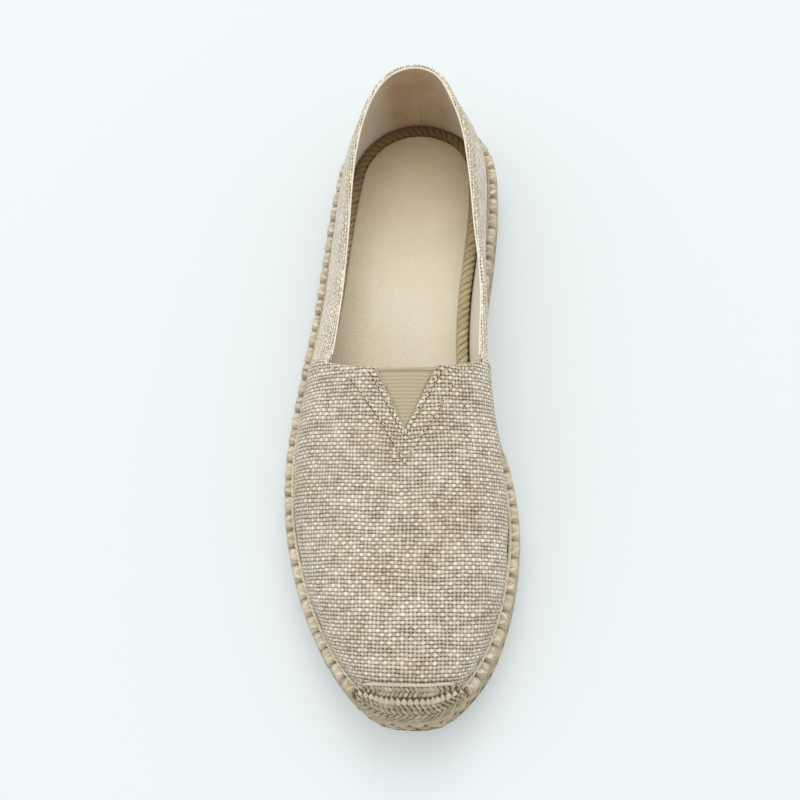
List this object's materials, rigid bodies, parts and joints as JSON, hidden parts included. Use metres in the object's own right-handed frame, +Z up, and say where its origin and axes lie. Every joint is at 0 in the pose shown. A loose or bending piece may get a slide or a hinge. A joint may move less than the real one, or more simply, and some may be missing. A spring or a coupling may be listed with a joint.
{
  "type": "espadrille",
  "caption": "Flat slip-on espadrille for the right foot: jute rope sole with braided rim and toe bumper, woven cloth upper with an elastic gore.",
  "frame": {"origin": "on the floor, under the middle of the shoe", "axes": "+Y from the toe to the heel, +X towards the inner side of the foot, +Z up"},
  "size_m": [0.0924, 0.262, 0.063],
  "materials": {
    "sole_rope": "matte jute rope",
    "rim_braid": "matte plaited jute",
    "bumper_braid": "matte braided jute",
    "upper_cloth": "coarse plain weave, matte",
    "gore_elastic": "ribbed elastic, matte",
    "insole_twill": "cream twill, matte",
    "inner_rope": "matte twisted jute",
    "lining_canvas": "cream canvas, matte",
    "seam_thread": "cotton thread, matte"
  },
  "bodies": {
    "root": {"rope_sole": "sole_rope", "rim_braid": "rim_braid", "toe_bumper": "bumper_braid", "upper": "upper_cloth", "gore": "gore_elastic", "insole": "insole_twill", "foot_rope": "inner_rope"}
  },
  "joints": []
}
